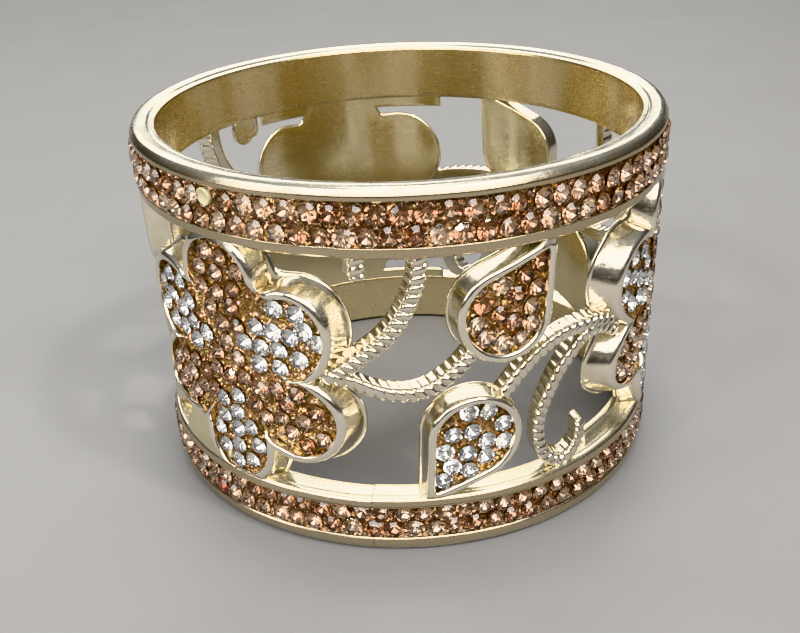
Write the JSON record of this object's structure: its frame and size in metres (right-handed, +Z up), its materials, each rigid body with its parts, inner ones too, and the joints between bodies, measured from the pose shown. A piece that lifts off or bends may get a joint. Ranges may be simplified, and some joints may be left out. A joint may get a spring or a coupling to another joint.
{
  "type": "kada bangle",
  "caption": "Wide openwork kada bangle, a closed gold-plated band with stone-set rings, flowers, leaves and roped vines.",
  "frame": {"origin": "on the bangle's axis, in the plane that its lower ring rests on", "axes": "+Z up along the bangle's axis; azimuth 0 is -Y, the side between the front flower and the front leaves"},
  "size_m": [0.0672, 0.0672, 0.0455],
  "materials": {
    "gold": "pale champagne-gold plating, polished",
    "paste": "clear resin full of gold glitter",
    "peach_stone": "foil-backed peach glass, faceted",
    "clear_stone": "foil-backed clear glass, faceted"
  },
  "bodies": {
    "root": {"frame": "gold", "top_band": "paste", "bottom_band": "paste", "front_flower_paste": "paste", "right_flower_paste": "paste", "back_flower_paste": "paste", "front_peach_leaf_paste": "paste", "right_peach_leaf_paste": "paste", "back_peach_leaf_paste": "paste", "front_clear_leaf_paste": "paste", "right_clear_leaf_paste": "paste", "back_clear_leaf_paste": "paste", "front_peach_stones": "peach_stone", "right_peach_stones": "peach_stone", "back_peach_stones": "peach_stone", "front_clear_stones": "clear_stone", "right_clear_stones": "clear_stone", "back_clear_stones": "clear_stone"}
  },
  "joints": []
}
